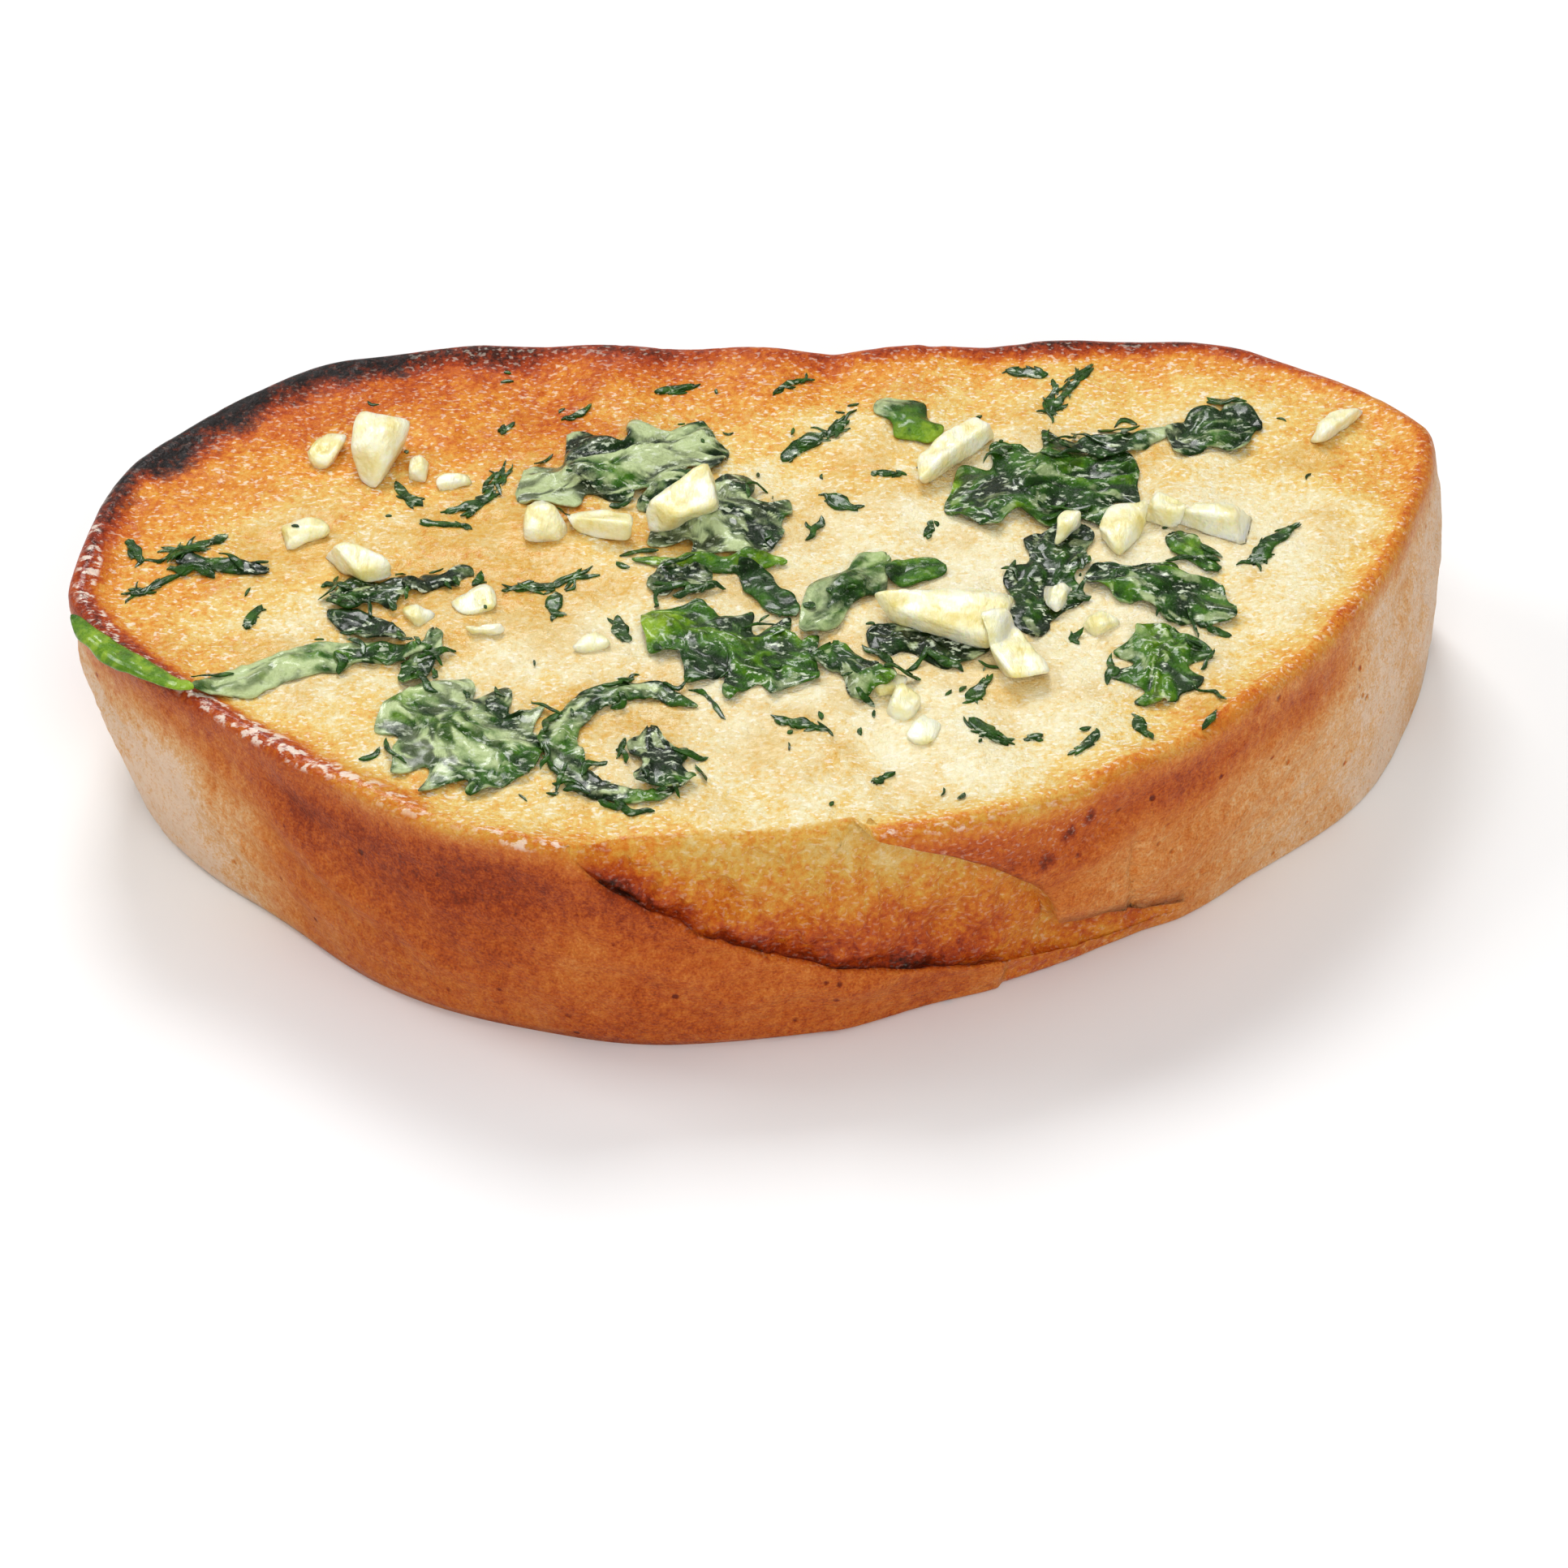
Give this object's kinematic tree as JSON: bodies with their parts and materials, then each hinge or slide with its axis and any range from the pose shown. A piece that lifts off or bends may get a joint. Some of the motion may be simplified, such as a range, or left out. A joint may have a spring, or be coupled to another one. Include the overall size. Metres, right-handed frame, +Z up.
{
  "type": "slice of garlic bread",
  "caption": "Thick toasted slice of an oval loaf with a buttery crumb face, wilted herb leaves and chopped garlic.",
  "frame": {"origin": "middle of the part's outline, on the surface that the slice lies on", "axes": "+X along the slice's length, +Y towards the loaf's flat base crust, +Z up from the lower cut face"},
  "size_m": [0.135, 0.0822, 0.0294],
  "materials": {
    "bread": "toasted crumb soaked in butter, and a satin brown crust",
    "leaf": "wilted flat herb leaf, wet with butter",
    "garlic": "chopped garlic, slightly translucent, glossy"
  },
  "bodies": {
    "root": {"bread": "bread", "garlic_back": "garlic", "garlic_back_left": "garlic", "garlic_between": "garlic", "garlic_far_right": "garlic", "garlic_large": "garlic", "garlic_left": "garlic", "garlic_lobe": "garlic", "garlic_middle": "garlic", "garlic_on_dark_leaf": "garlic", "garlic_on_leaf": "garlic", "garlic_ridged": "garlic", "garlic_right": "garlic", "garlic_strip_left": "garlic", "leaf_arrow": "leaf", "leaf_back": "leaf", "leaf_back_left": "leaf", "leaf_back_right": "leaf", "leaf_blade_green": "leaf", "leaf_blade_pale": "leaf", "leaf_centre": "leaf", "leaf_crinkled": "leaf", "leaf_curl": "leaf", "leaf_dark": "leaf", "leaf_folded": "leaf", "leaf_front_left": "leaf", "leaf_front_stem": "leaf", "leaf_left": "leaf", "leaf_left_chain": "leaf", "leaf_left_dark": "leaf", "leaf_left_low": "leaf", "leaf_low": "leaf", "leaf_low_right": "leaf", "leaf_middle": "leaf", "leaf_middle_stem": "leaf", "leaf_pale": "leaf", "leaf_right": "leaf", "leaf_ring": "leaf", "leaf_ring_knot": "leaf", "leaf_small_right": "leaf", "leaf_strip": "leaf", "leaf_tail": "leaf", "leaf_tip": "leaf"}
  },
  "joints": []
}
